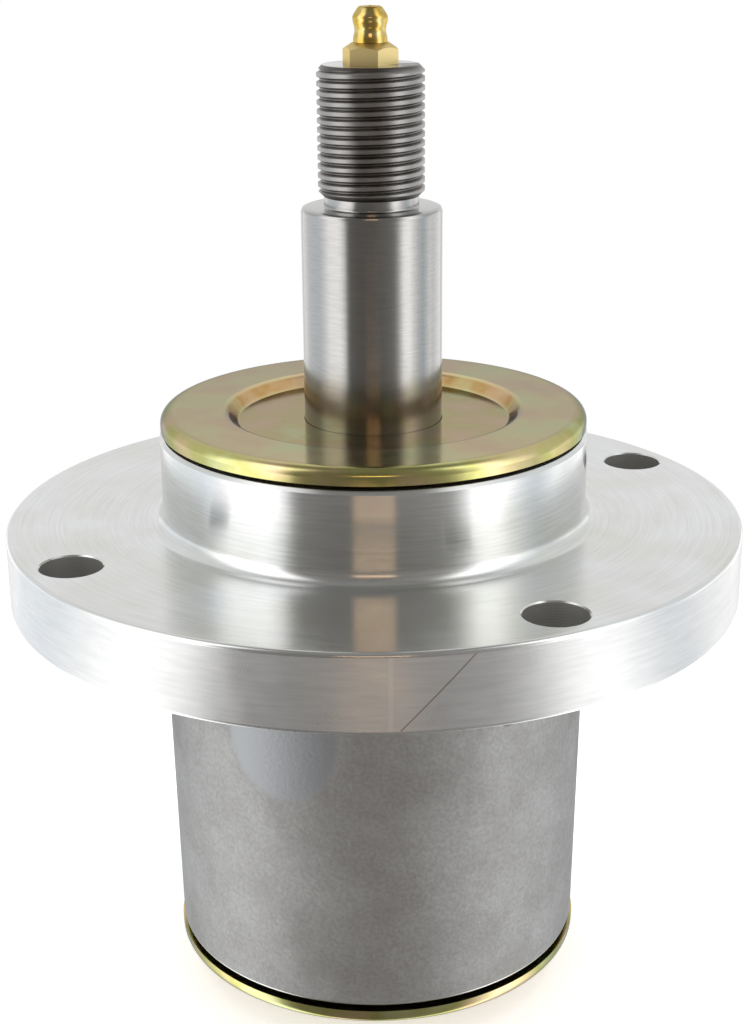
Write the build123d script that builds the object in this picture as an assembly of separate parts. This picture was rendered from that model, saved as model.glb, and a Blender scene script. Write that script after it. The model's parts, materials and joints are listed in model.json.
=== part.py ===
from build123d import *
import math
import os

# Mower deck spindle: a blade shaft in two greased ball bearings, in a flanged aluminium housing.
# Millimetres, +Z up the shaft. The origin is the centre of the blade seat, under the shaft's hub.

# Fits
press_gap = 0.01            # radial gap left at a press fit
slip_gap = 0.02             # radial gap of sleeves and washers on the journal
ball_gap = 0.02             # between a ball and each race
cage_gap = 0.08             # between a ball and its cage pocket
lip_gap = 0.08              # between a seal's lip and the inner race
cap_running_gap = 0.3       # between a turning dust cap and the fixed housing

# Housing
flange_thickness = 14.0
flange_bevel = 0.8
pilot_r = 39.6
pilot_length = 16.5
housing_bevel = 0.6         # round the housing's upper and lower edge
pilot_root_fillet = 2.7
lower_body_r = 40.4         # where the cast body meets the flange
lower_body_length = 69.1
draft_deg = 1.1             # the casting tapers down towards its lower edge
under_flange_fillet = 4.0
bolt_count = 4
bolt_circle_r = 60.325
bolt_to_rim = 8.175         # from the bolt circle out to the flange's rim
bolt_hole_r = 5.55
bolt_hole_bevel = 0.7
race_shoulder = 3.5         # step that each outer race is pressed against
bearing_recess = 0.5        # each bearing lies this far below the housing's face
seat_bevel = 0.8

# Shaft
journal_r = 12.7
relief_width = 1.0          # grinding relief between the bearings' and the pulley's journal, under the cap
relief_depth = 0.4
pulley_journal_length = 37.0     # from the top of the upper cap to the shoulder
shoulder_bevel = 0.8
thread_r = 9.525
thread_depth = 1.0
thread_end_length = 24.7    # from the shoulder to the shaft's top end
neck_length = 1.8           # plain run-out neck at the foot of the thread
hub_r = 19.05
hub_bevel = 0.8
hub_back_bevel = 0.4
seat_below_cap = 6.1        # the blade seat stands this far below the lower cap
blade_thread_r = 7.34       # tap drill size of the blade bolt's hole
blade_thread_depth = 36.0
blade_thread_bevel = 1.0
drill_point_deg = 118.0
grease_bore_r = 2.4
grease_cross_r = 1.6

# Dust caps
cap_sheet = 1.5
cap_inset = 0.2             # the cap's rim lies inside the pilot, so both pass through the deck
dish_depth = 2.1
dish_floor_r = 25.1
dish_wall_deg = 45.0
dish_bend = 0.5             # inside radius of the pressed bends
rim_bend = 0.4
rim_skirt = 1.1             # straight edge below the rim's bend
cap_bore_gap = 0.9

# Bearings
bearing_r = 26.0
bearing_width = 15.0
bearing_bevel = 0.8
bearing_bore_bevel = 0.4
ball_r = 3.969
ball_count = 9
groove_ratio = 1.04         # a race groove's radius over the ball's
land_offset = 2.25          # from the ball circle to the land of each race
cage_sheet = 0.7
cage_width = 2.9
rivet_r = 0.55
rivet_head_r = 1.0
rivet_head_height = 0.4
seal_thickness = 0.9
seal_inset = 0.7            # from the bearing's face to the seal
seal_bead = 1.2             # depth of the groove that holds the seal's edge
seal_mouth = 0.6            # how much of that groove lies open at the bearing's face
seal_lip_thickness = 0.45
seal_lip_width = 1.2

# Sleeve between the inner races
spacer_wall = 3.8
spacer_relief = 1.5         # depth of the relief between the sleeve's two lands
spacer_land = 12.0
spacer_hole_r = 2.0
spacer_hole_count = 2

# Grease fitting
hex_across_flats = 8.73
hex_height = 3.7
hex_turn_deg = 46.0         # where the hexagon stopped when it was screwed in
hex_cone_deg = 33.0         # slope of the hexagon's coned top
hex_flat_r = 3.2            # radius of the level middle of that top
fitting_neck_r = 3.0
fitting_neck_height = 0.8
fitting_waist_r = 2.65
fitting_waist_height = 1.3
fitting_head_r = 3.1
fitting_cone_height = 1.6
fitting_head_height = 0.7
fitting_crown_height = 1.7
fitting_top_r = 2.0
fitting_round = 0.4
fitting_wall_top = 0.4
fitting_stem_r = 3.175
fitting_stem_length = 6.0
fitting_stem_bevel = 0.5
fitting_tap_spare = 2.0     # the tapped hole is this much deeper than the stem
valve_ball_r = 1.19
valve_mouth_ratio = 0.67    # the mouth's radius over the check ball's
valve_gap = 0.02
valve_side_gap = 0.26
valve_feed_r = 0.9
valve_floor_height = 1.6    # chamber floor above the shaft's end
valve_wire_r = 0.15
valve_coil_gap = 0.15
valve_coils = 6

# Radii and heights that follow from the sizes above
flange_r = bolt_circle_r + bolt_to_rim
ball_circle_r = (journal_r + bearing_r) / 2
inner_land_r = ball_circle_r - land_offset
outer_land_r = ball_circle_r + land_offset
spacer_r = journal_r + slip_gap + spacer_wall
valve_chamber_r = valve_ball_r + valve_side_gap
valve_mouth_r = valve_ball_r * valve_mouth_ratio
cap_reach = cap_running_gap + cap_sheet + dish_depth
housing_bottom = seat_below_cap + cap_reach
flange_bottom = housing_bottom + lower_body_length
flange_top = flange_bottom + flange_thickness
housing_top = flange_top + pilot_length
mid_height = (housing_bottom + housing_top) / 2
hub_top = housing_bottom - cap_running_gap - cap_sheet
shoulder_height = housing_top + cap_reach + pulley_journal_length
shaft_top = shoulder_height + thread_end_length
seat_depth = bearing_recess + bearing_width
shim_thickness = bearing_recess + cap_running_gap


def turned(corners):
    """Turn a solid from its outline of (radius, height) corners.
    A corner may add "round" or "bevel" and a size."""
    face = make_face(Polyline([corner[:2] for corner in corners], close=True))
    for radius, height, finish, size in [corner for corner in corners if len(corner) == 4]:
        vertex = min(face.vertices(), key=lambda v: math.hypot(v.X - radius, v.Y - height))
        face = fillet(vertex, size) if finish == "round" else chamfer(vertex, size)
    return revolve(Plane.XZ * face, Axis.Z)


def tube(outer_r, inner_r, bottom, top):
    """A plain sleeve or washer."""
    return turned([(inner_r, bottom), (outer_r, bottom), (outer_r, top), (inner_r, top)])


def drilled(radius, depth, bevel=0.0):
    """The space of a drilled blind hole that runs up from z = 0, with its point and its bevelled mouth."""
    point = radius / math.tan(math.radians(drill_point_deg / 2))
    mouth = [(radius + bevel, 0), (radius, bevel)] if bevel else [(radius, 0)]
    return turned([(0, 0), *mouth, (radius, depth), (0, depth + point)])


def upside_down(solid):
    """The same piece at the other end of the housing."""
    return mirror(solid, Plane.XY.offset(mid_height))


def housing():
    """The aluminium casting: drafted lower body, round flange, turned pilot and two bearing seats."""
    lower_edge_r = lower_body_r - lower_body_length * math.tan(math.radians(draft_deg))
    seat_r = bearing_r + press_gap
    bore_r = bearing_r - race_shoulder
    body = turned([
        (bore_r, housing_bottom + seat_depth),
        (seat_r, housing_bottom + seat_depth),
        (seat_r, housing_bottom, "bevel", seat_bevel),
        (lower_edge_r, housing_bottom, "bevel", housing_bevel),
        (lower_body_r, flange_bottom, "round", under_flange_fillet),
        (flange_r, flange_bottom, "bevel", flange_bevel),
        (flange_r, flange_top, "bevel", flange_bevel),
        (pilot_r, flange_top, "round", pilot_root_fillet),
        (pilot_r, housing_top, "bevel", housing_bevel),
        (seat_r, housing_top, "bevel", seat_bevel),
        (seat_r, housing_top - seat_depth),
        (bore_r, housing_top - seat_depth),
    ])
    mouth_r = bolt_hole_r + bolt_hole_bevel
    bolt_hole = turned([
        (0, flange_bottom), (mouth_r, flange_bottom), (bolt_hole_r, flange_bottom + bolt_hole_bevel),
        (bolt_hole_r, flange_top - bolt_hole_bevel), (mouth_r, flange_top), (0, flange_top),
    ])
    return body - [place * bolt_hole for place in PolarLocations(bolt_circle_r, bolt_count)]


def shaft():
    """Blade hub, long journal, shoulder, run-out neck and threaded end (a plain cylinder here)."""
    relief_r = journal_r - relief_depth
    relief_bottom = housing_top + cap_running_gap
    neck_r = thread_r - thread_depth
    neck_top = shoulder_height + neck_length
    solid = turned([
        (0, 0),
        (hub_r, 0, "bevel", hub_bevel),
        (hub_r, hub_top, "bevel", hub_back_bevel),
        (journal_r, hub_top),
        (journal_r, relief_bottom),
        (relief_r, relief_bottom),
        (relief_r, relief_bottom + relief_width),
        (journal_r, relief_bottom + relief_width),
        (journal_r, shoulder_height, "bevel", shoulder_bevel),
        (neck_r, shoulder_height),
        (neck_r, neck_top),
        (thread_r, neck_top + thread_depth),
        (thread_r, shaft_top, "bevel", thread_depth),
        (0, shaft_top),
    ])
    solid -= drilled(blade_thread_r, blade_thread_depth, blade_thread_bevel)
    from_the_top = Pos(0, 0, shaft_top) * Rot(180, 0, 0)
    solid -= from_the_top * drilled(fitting_stem_r + press_gap, fitting_stem_length + fitting_tap_spare)
    solid -= from_the_top * drilled(grease_bore_r, shaft_top - mid_height)
    cross = Pos(0, 0, mid_height) * Rot(0, 90, 0) * Cylinder(grease_cross_r, 3 * journal_r)
    return solid - cross


def dust_cap():
    """Pressed sheet cap over the upper bearing: dished middle, raised ring and turned-down rim."""
    under = housing_top + cap_running_gap
    floor = under + cap_sheet
    top = floor + dish_depth
    cap_r = pilot_r - cap_inset
    bore_r = journal_r + cap_bore_gap
    wall = math.radians(dish_wall_deg)
    ring_r = dish_floor_r + dish_depth / math.tan(wall)
    sheet_shift = cap_sheet * math.tan(wall / 2)
    rim_edge = top - cap_sheet - rim_bend - rim_skirt
    return turned([
        (bore_r, under),
        (dish_floor_r + sheet_shift, under, "round", dish_bend + cap_sheet),
        (ring_r + sheet_shift, under + dish_depth, "round", dish_bend),
        (cap_r - cap_sheet, under + dish_depth, "round", rim_bend),
        (cap_r - cap_sheet, rim_edge),
        (cap_r, rim_edge),
        (cap_r, top, "round", rim_bend + cap_sheet),
        (ring_r, top, "round", dish_bend + cap_sheet),
        (dish_floor_r, floor, "round", dish_bend),
        (bore_r, floor),
    ])


def shim_washer():
    """Lifts the upper dust cap off the fixed outer race."""
    bottom = housing_top - bearing_recess
    return tube(inner_land_r - slip_gap, journal_r + slip_gap, bottom, bottom + shim_thickness)


def bearing_spacer():
    """Sleeve between the inner races, relieved inside, with holes that let the grease out."""
    bottom = housing_bottom + seat_depth
    top = housing_top - seat_depth
    land_r = journal_r + slip_gap
    relief_r = land_r + spacer_relief
    solid = turned([
        (land_r, bottom), (spacer_r, bottom), (spacer_r, top), (land_r, top),
        (land_r, top - spacer_land), (relief_r, top - spacer_land - spacer_relief),
        (relief_r, bottom + spacer_land + spacer_relief), (land_r, bottom + spacer_land),
    ])
    outwards = (Align.CENTER, Align.CENTER, Align.MIN)
    hole = Rot(0, 90, 0) * Cylinder(spacer_hole_r, 2 * spacer_r, align=outwards)
    holes = PolarLocations(0, spacer_hole_count, start_angle=90)
    return solid - [Pos(0, 0, mid_height) * place * hole for place in holes]


def outer_race():
    """Outer ring with its ball groove and the seat that the seal snaps into on the outboard side."""
    half = bearing_width / 2
    seal_inner_face = half - seal_inset - seal_thickness
    groove_r = ball_r * groove_ratio
    ring = turned([
        (outer_land_r, -half),
        (bearing_r, -half, "bevel", bearing_bevel),
        (bearing_r, half, "bevel", bearing_bevel),
        (outer_land_r + seal_mouth, half),
        (outer_land_r + seal_mouth, half - seal_inset),
        (outer_land_r + seal_bead, half - seal_inset),
        (outer_land_r + seal_bead, seal_inner_face),
        (outer_land_r, seal_inner_face),
    ])
    return ring - Torus(ball_circle_r + ball_r + ball_gap - groove_r, groove_r)


def inner_race():
    """Inner ring with its ball groove."""
    half = bearing_width / 2
    groove_r = ball_r * groove_ratio
    ring = turned([
        (journal_r + press_gap, -half, "bevel", bearing_bore_bevel),
        (inner_land_r, -half),
        (inner_land_r, half),
        (journal_r + press_gap, half, "bevel", bearing_bore_bevel),
    ])
    return ring - Torus(ball_circle_r - ball_r - ball_gap + groove_r, groove_r)


def seal():
    """Rubber seal ring: its bead snaps into the outer race and its lip runs on the inner one."""
    outer_face = bearing_width / 2 - seal_inset - slip_gap
    inner_face = outer_face - seal_thickness + 2 * slip_gap
    lip_r = inner_land_r + lip_gap
    lip_face = inner_face + seal_lip_thickness
    return turned([
        (lip_r, inner_face), (outer_land_r + seal_bead - slip_gap, inner_face),
        (outer_land_r + seal_bead - slip_gap, outer_face), (lip_r + seal_lip_width, outer_face),
        (lip_r + seal_lip_width, lip_face), (lip_r, lip_face),
    ])


def ball_places():
    """One place for each ball of a bearing."""
    return PolarLocations(ball_circle_r, ball_count)


def rivet_places():
    """One place for each rivet, midway between the balls."""
    return PolarLocations(ball_circle_r, ball_count, start_angle=180 / ball_count)


def balls():
    """The bearing's balls."""
    return [place * Sphere(ball_r) for place in ball_places()]


def cage_half():
    """Outboard half of the ribbon cage: flat lands between the balls and a round pocket over each."""
    pocket_r = ball_r + cage_gap
    reach = pocket_r + cage_sheet
    outer_r = ball_circle_r + cage_width / 2
    inner_r = ball_circle_r - cage_width / 2
    ring = tube(outer_r, inner_r, 0, reach)
    domes = [place * Sphere(reach) for place in ball_places()]
    ribbon = tube(outer_r, inner_r, 0, cage_sheet) + [ring & dome for dome in domes]
    ribbon -= [place * Sphere(pocket_r) for place in ball_places()]
    return ribbon - [place * Cylinder(rivet_r + press_gap, 4 * cage_sheet) for place in rivet_places()]


def cage_rivets():
    """Rivets that clinch the two cage halves together."""
    shank = Cylinder(rivet_r, 2 * (cage_sheet + rivet_head_height))
    head_centre = cage_sheet + rivet_head_height / 2
    heads = [Pos(0, 0, side * head_centre) * Cylinder(rivet_head_r, rivet_head_height) for side in (-1, 1)]
    return [place * (shank + heads) for place in rivet_places()]


def grease_fitting_body():
    """Screwed-in hexagon, waisted neck and coned head, bored out for the check valve."""
    hexagon = extrude(RegularPolygon(hex_across_flats / 2, 6, major_radius=False), amount=hex_height)
    corner_r = hex_across_flats / math.sqrt(3)
    cone_drop = (corner_r - hex_flat_r) * math.tan(math.radians(hex_cone_deg))
    hexagon &= turned([(0, 0), (corner_r, 0), (corner_r, hex_height - cone_drop),
                       (hex_flat_r, hex_height), (0, hex_height)])
    neck_top = hex_height + fitting_neck_height
    waist_top = neck_top + fitting_waist_height
    head_bottom = waist_top + fitting_cone_height
    body = turned([
        (0, -fitting_stem_length),
        (fitting_stem_r, -fitting_stem_length, "bevel", fitting_stem_bevel),
        (fitting_stem_r, 0),
        (fitting_neck_r, 0),
        (fitting_neck_r, neck_top),
        (fitting_waist_r, waist_top, "round", fitting_round),
        (fitting_head_r, head_bottom, "round", fitting_round),
        (fitting_head_r, head_bottom + fitting_head_height, "round", fitting_round),
        (fitting_top_r, fitting_height(), "round", fitting_round),
        (0, fitting_height()),
    ])
    chamber = turned([
        (0, -fitting_stem_length),
        (valve_feed_r, -fitting_stem_length),
        (valve_feed_r, valve_floor_height),
        (valve_chamber_r, valve_floor_height),
        (valve_chamber_r, valve_seat_height()),
        (valve_mouth_r, fitting_height() - fitting_wall_top),
        (valve_mouth_r, fitting_height()),
        (0, fitting_height()),
    ])
    return Pos(0, 0, shaft_top) * Rot(0, 0, hex_turn_deg) * (body + hexagon - chamber)


def fitting_height():
    """Height of the grease fitting above the shaft's end."""
    return (hex_height + fitting_neck_height + fitting_waist_height
            + fitting_cone_height + fitting_head_height + fitting_crown_height)


def valve_seat_height():
    """Height of the foot of the check ball's 45 degree seat above the shaft's end."""
    return fitting_height() - fitting_wall_top - (valve_chamber_r - valve_mouth_r)


def valve_ball_height():
    """Height of the check ball's centre above the shaft's end, when it closes its seat."""
    return valve_seat_height() + valve_chamber_r - math.sqrt(2) * (valve_ball_r + valve_gap)


def grease_fitting_ball():
    """Check ball that closes the fitting's mouth."""
    return Pos(0, 0, shaft_top + valve_ball_height()) * Sphere(valve_ball_r)


def grease_fitting_spring():
    """Coil spring that holds the check ball against its seat."""
    bottom = valve_floor_height + valve_wire_r
    coil_r = valve_chamber_r - valve_coil_gap - valve_wire_r
    ball_contact = math.sqrt((valve_ball_r + valve_wire_r + valve_gap) ** 2 - coil_r ** 2)
    height = valve_ball_height() - ball_contact - bottom
    path = Helix(height / valve_coils, height, coil_r)
    wire = sweep(Plane(origin=path @ 0, z_dir=path % 0) * Circle(valve_wire_r), path)
    return Pos(0, 0, shaft_top + bottom) * wire


def bearing_pieces():
    """The pieces of the upper bearing, each a list of solids, about the bearing's own centre."""
    half = cage_half()
    return {
        "outer_race": [outer_race()],
        "inner_race": [inner_race()],
        "balls": balls(),
        "cage_outboard_half": [half],
        "cage_inboard_half": [mirror(half, Plane.XY)],
        "cage_rivets": cage_rivets(),
        "seal": [seal()],
    }


def spindle():
    """Every node of the assembly, by name, as a list of solids."""
    nodes = {
        "housing": [housing()],
        "shaft": [shaft()],
        "upper_dust_cap": [dust_cap()],
        "lower_dust_cap": [upside_down(dust_cap())],
        "upper_shim_washer": [shim_washer()],
        "lower_shim_washer": [upside_down(shim_washer())],
        "bearing_spacer": [bearing_spacer()],
        "grease_fitting_body": [grease_fitting_body()],
        "grease_fitting_ball": [grease_fitting_ball()],
        "grease_fitting_spring": [grease_fitting_spring()],
    }
    upper_bearing_centre = housing_top - bearing_recess - bearing_width / 2
    for name, solids in bearing_pieces().items():
        placed = [Pos(0, 0, upper_bearing_centre) * solid for solid in solids]
        nodes["upper_" + name] = placed
        nodes["lower_" + name] = [upside_down(solid) for solid in placed]
    return nodes


os.makedirs("parts", exist_ok=True)
for node, solids in spindle().items():
    found = [solid for shape in solids for solid in shape.solids()]
    export_step(found[0] if len(found) == 1 else Compound(children=found), f"parts/{node}.step")
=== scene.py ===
import json
import math
from functools import partial

import bmesh
import bpy
from bpy.props import FloatProperty, IntProperty, PointerProperty, StringProperty
from mathutils import Matrix, Vector


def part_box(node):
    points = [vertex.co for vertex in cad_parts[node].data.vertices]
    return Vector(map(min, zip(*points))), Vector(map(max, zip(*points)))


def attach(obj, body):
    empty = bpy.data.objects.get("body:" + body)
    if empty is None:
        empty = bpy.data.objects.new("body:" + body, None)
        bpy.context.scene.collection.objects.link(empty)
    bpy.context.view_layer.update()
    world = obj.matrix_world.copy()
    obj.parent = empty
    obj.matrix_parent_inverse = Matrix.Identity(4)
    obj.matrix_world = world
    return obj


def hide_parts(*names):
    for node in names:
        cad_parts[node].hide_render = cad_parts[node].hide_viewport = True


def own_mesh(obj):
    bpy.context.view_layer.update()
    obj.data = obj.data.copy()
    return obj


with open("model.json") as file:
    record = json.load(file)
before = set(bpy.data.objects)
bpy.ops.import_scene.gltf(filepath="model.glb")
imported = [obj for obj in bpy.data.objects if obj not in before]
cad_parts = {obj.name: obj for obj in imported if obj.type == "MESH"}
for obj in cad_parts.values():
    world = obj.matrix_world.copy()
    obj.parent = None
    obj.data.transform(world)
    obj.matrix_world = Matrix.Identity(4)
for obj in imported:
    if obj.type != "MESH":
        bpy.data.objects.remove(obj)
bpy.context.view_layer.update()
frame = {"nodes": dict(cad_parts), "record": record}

bl_info = {
    "name": "Mower deck spindle",
    "version": (1, 0, 0),
    "blender": (4, 5, 0),
    "location": "3D View > Sidebar > Spindle",
    "description": "Models and finishes the visible pieces of a mower deck spindle assembly",
    "category": "Object",
}

MM = 0.001
SMOOTH_ANGLE = math.radians(35)
MERGE = 2e-6        # metres: points closer than this are one
ROOT_SHARE = 0.14   # of a thread's pitch, the flat at its root
# Settings of a Mix node: one colour laid over another, or multiplied with it
OVER = {"data_type": "RGBA"}
TIMES = {"data_type": "RGBA", "blend_type": "MULTIPLY"}

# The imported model's own measures, used as defaults

housing_low, housing_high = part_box("housing")
shaft_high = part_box("shaft")[1]
cap_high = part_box("upper_dust_cap")[1]
fitting_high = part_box("grease_fitting_body")[1]


def size(name, description, default):
    return FloatProperty(name=name, description=description, default=default, unit="LENGTH", precision=5)


def angle(name, description, degrees):
    return FloatProperty(name=name, description=description, default=math.radians(degrees), subtype="ANGLE")


def colour(name, what, default):
    return StringProperty(name=name, description=f"Colour of {what}, as an sRGB hex value", default=default)


class SpindleHousingSettings(bpy.types.PropertyGroup):
    """Sizes and colours of the aluminium housing"""
    flange_radius: size("Flange radius", "Radius of the round flange", housing_high[0])
    flange_bottom: size("Flange bottom", "Height of the flange's lower face", 0.0791)
    flange_top: size("Flange top", "Height of the face that the deck rests on", 0.0931)
    pilot_radius: size("Pilot radius", "Radius of the turned pilot above the flange", 0.0396)
    body_radius: size("Body radius", "Radius of the cast body just under the flange", 0.0404)
    draft: angle("Draft", "Taper of the cast body", 1.1)
    bore_radius: size("Bore radius", "Radius between the two bearing seats", 0.0225)
    seat_radius: size("Seat radius", "Radius of each bearing seat", 0.02601)
    seat_depth: size("Seat depth", "Depth of each bearing seat", 0.0155)
    bolt_circle_radius: size("Bolt circle radius", "Radius of the circle of bolt holes", 0.060325)
    bolt_hole_radius: size("Bolt hole radius", "Radius of each bolt hole", 0.00555)
    bolt_count: IntProperty(name="Bolt holes", description="Number of bolt holes in the flange", default=4, min=1)
    turned_colour: colour("Turned aluminium", "the turned faces", "#D8D9D9")
    turned_tint: colour("Turned aluminium, tint", "the duller clouds on the turned faces", "#CFCFC9")
    cast_colour: colour("Cast aluminium", "the as-cast body", "#B2B2B1")
    cast_tint: colour("Cast aluminium, tint", "the duller clouds on the as-cast body", "#A3A2A0")


class SpindleShaftSettings(bpy.types.PropertyGroup):
    """Sizes and colours of the shaft"""
    hub_radius: size("Hub radius", "Radius of the blade hub", shaft_high[0])
    hub_top: size("Hub top", "Height of the blade hub", 0.0082)
    journal_radius: size("Journal radius", "Radius of the ground journal", 0.0127)
    shoulder: size("Shoulder", "Height of the shoulder under the threaded end", 0.1505)
    neck_radius: size("Neck radius", "Radius of the plain neck under the thread", 0.008525)
    thread_radius: size("Thread radius", "Outside radius of the threaded end", 0.009525)
    thread_pitch: size("Thread pitch", "Distance from one thread to the next", 0.0015875)
    thread_depth: size("Thread depth", "Depth of the threaded end's worn thread", 0.0006)
    blade_thread_radius: size("Blade thread radius", "Outside radius of the tapped hole for the blade bolt", 0.00794)
    blade_thread_pitch: size("Blade thread pitch", "Pitch of the tapped hole for the blade bolt", 0.001411)
    blade_thread_depth: size("Blade thread depth", "Depth of the tapped hole for the blade bolt", 0.036)
    steel_colour: colour("Ground steel", "the shaft", "#A09F9D")
    crest_colour: colour("Thread crests", "the worn crests of the thread", "#8C8A88")
    # The roots' colour is painted shade in the thread's recesses, and oil and dust
    thread_root_shade_and_oil_colour: colour("Thread roots", "the oil and dust in the thread's roots", "#57534F")


class SpindleCapSettings(bpy.types.PropertyGroup):
    """Sizes and colours of the two pressed dust caps"""
    radius: size("Radius", "Radius over the turned-down rim", cap_high[0])
    sheet: size("Sheet", "Thickness of the pressed sheet", 0.0015)
    bore_radius: size("Bore radius", "Radius of the hole round the shaft", 0.0128)
    dish_radius: size("Dish radius", "Radius of the dished floor", 0.0251)
    dish_depth: size("Dish depth", "Depth of the dished floor below the ring", 0.0021)
    rim_height: size("Rim height", "Height of the turned-down rim", 0.003)
    zinc_rim: colour("Zinc, rim", "the thick film on the rim", "#B3B06E")
    zinc_ring: colour("Zinc, ring", "the film on the raised ring", "#DBCB9C")
    # The colour of the dish's wall is painted shade, darker and browner than the film round it
    zinc_bend_painted_shade: colour("Zinc, bend", "the stretched film on the dish's wall", "#BC965E")
    zinc_floor: colour("Zinc, floor", "the film on the dished floor", "#CEBC86")
    zinc_pink: colour("Zinc, pink tint", "the pink clouds in the film", "#D9BC9B")
    zinc_green: colour("Zinc, green tint", "the green clouds in the film", "#CFD3A2")


class SpindleFittingSettings(bpy.types.PropertyGroup):
    """Sizes and colours of the grease fitting"""
    across_flats: size("Across flats", "Width of the hexagon across its flats", 0.00873)
    hexagon_height: size("Hexagon height", "Height of the hexagon", 0.0037)
    hexagon_flat: size("Hexagon flat", "Radius of the level middle of the hexagon's coned top", 0.0032)
    hexagon_cone: angle("Hexagon cone", "Slope of the hexagon's coned top", 33)
    hexagon_turn: angle("Hexagon turn", "Where the hexagon stopped when it was screwed in", 46)
    gold_colour: colour("Gold zinc", "the fitting's zinc", "#BC9E4C")
    hexagon_colour: colour("Hexagon", "the thinner film on the hexagon", "#D8C38A")
    gold_tint: colour("Gold zinc, tint", "the paler clouds in the film", "#CBBA80")


class SpindleStageSettings(bpy.types.PropertyGroup):
    """Floor, light and camera"""
    lens: FloatProperty(name="Lens", description="Focal length of the camera in millimetres", default=63.26)
    camera_azimuth: angle("Camera azimuth", "Where the camera stands, round the shaft", -119)
    camera_distance: size("Camera distance", "Distance of the camera from the shaft's axis", 0.32206)
    camera_height: size("Camera height", "Height of the camera above the blade seat", 0.20331)
    camera_pitch: angle("Camera pitch", "How far the camera looks down", 18.977)
    camera_roll: angle("Camera roll", "Lean of the camera", -0.47)
    floor_radius: size("Floor radius", "Radius of the pale floor", 0.30)
    card_radius: size("Card radius", "Distance of the reflector cards from the spindle", 3.0)


# Small helpers: colours, nodes and modelling steps


def linear(hex_colour):
    """An sRGB hex value as linear red, green, blue and alpha."""
    parts = [int(hex_colour[i:i + 2], 16) / 255 for i in (1, 3, 5)]
    return (*(p / 12.92 if p <= 0.04045 else ((p + 0.055) / 1.055) ** 2.4 for p in parts), 1.0)


def add_node(tree, kind, sockets=(), stops=(), **settings):
    """Add a shader node with its sockets' values or links, and its settings. Stops are the places and colours of a
    colour ramp, the colours as sRGB hex or linear."""
    made = tree.nodes.new(kind)
    for key, value in settings.items():
        setattr(made, key, value)
    set_sockets(made, dict(sockets))
    for i, (place, shade) in enumerate(stops):
        stop = made.color_ramp.elements[i] if i < 2 else made.color_ramp.elements.new(place)
        stop.position = place
        stop.color = linear(shade) if isinstance(shade, str) else (*shade, 1)
    return made


def set_sockets(node, sockets):
    """Give a node's sockets their values. A value may be a hex colour, or a node or socket to link."""
    for key, value in sockets.items():
        if isinstance(value, bpy.types.Node):
            value = next(output for output in value.outputs if output.enabled)
        if isinstance(value, bpy.types.NodeSocket):
            node.id_data.links.new(value, node.inputs[key])
        else:
            node.inputs[key].default_value = linear(value) if isinstance(value, str) else value


def new_material(name, metallic, roughness, across=0.0, edge="#FFFFFF"):
    """A material, what adds its nodes, and its Principled shader. Across is how much more the reflections blur across
    the fine lines that run round the piece than along them, and edge is the tint of a metal at a glancing angle."""
    made = bpy.data.materials.new(name)
    made.use_nodes = True
    add = partial(add_node, made.node_tree)
    shader = made.node_tree.nodes["Principled BSDF"]
    set_sockets(shader, {"Metallic": metallic, "Roughness": roughness, "Specular Tint": edge})
    if across:
        tangent = add("ShaderNodeTangent", direction_type="RADIAL", axis="Z")
        set_sockets(shader, {"Anisotropic": across, "Anisotropic Rotation": 0.25, "Tangent": tangent})
    return made, add, shader


def measures(add):
    """Where a point lies on a turned piece: its place, distance from the axis, height and place along the outer
    outline in millimetres, its direction from the axis, and its angle round the axis in radians."""
    coords = add("ShaderNodeTexCoord").outputs["Object"]
    place = add("ShaderNodeVectorMath", {0: coords, "Scale": 1000}, operation="SCALE")
    axes = add("ShaderNodeSeparateXYZ", {0: place}).outputs
    level = add("ShaderNodeVectorMath", {0: place, 1: (1, 1, 0)}, operation="MULTIPLY")
    radius = add("ShaderNodeVectorMath", {0: level}, operation="LENGTH")
    along = add("ShaderNodeMath", {0: radius, 1: axes["Z"]}, operation="SUBTRACT")
    around = add("ShaderNodeVectorMath", {0: level}, operation="NORMALIZE")
    turn = add("ShaderNodeMath", {0: axes["Y"], 1: axes["X"]}, operation="ARCTAN2")
    return {"place": place, "radius": radius, "height": axes["Z"], "along": along, "around": around, "angle": turn}


def tool_lines(add, where, spacing, run=4.0):
    """Fine lines that a tool or a wheel leaves round the piece, `spacing` millimetres apart."""
    step = add("ShaderNodeMath", {0: where["along"], 1: spacing}, operation="DIVIDE")
    lift = add("ShaderNodeCombineXYZ", {"Z": step})
    reach = add("ShaderNodeVectorMath", {0: where["around"], 1: (run, run, 0), 2: lift}, operation="MULTIPLY_ADD")
    return add("ShaderNodeTexNoise", {"Vector": reach, "Scale": 1, "Detail": 2, "Roughness": 0.6})


def spot(add, where, at_angle, at_height, half_angle, half_height, soft):
    """A mask that is 1 on an oval spot of a round wall. Angles in degrees, heights in millimetres."""
    across = add("ShaderNodeMath", {0: where["angle"], 1: math.radians(at_angle)}, operation="SUBTRACT")
    up = add("ShaderNodeMath", {0: where["height"], 1: at_height}, operation="SUBTRACT")
    both = add("ShaderNodeCombineXYZ", {"X": across, "Y": up})
    shares = add("ShaderNodeVectorMath", {0: both, 1: (math.radians(half_angle), half_height, 1)}, operation="DIVIDE")
    reach = add("ShaderNodeVectorMath", {0: shares}, operation="LENGTH")
    return add("ShaderNodeMapRange", {"Value": reach, "From Min": 1 + soft, "From Max": 1 - soft},
               interpolation_type="SMOOTHSTEP")


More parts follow.
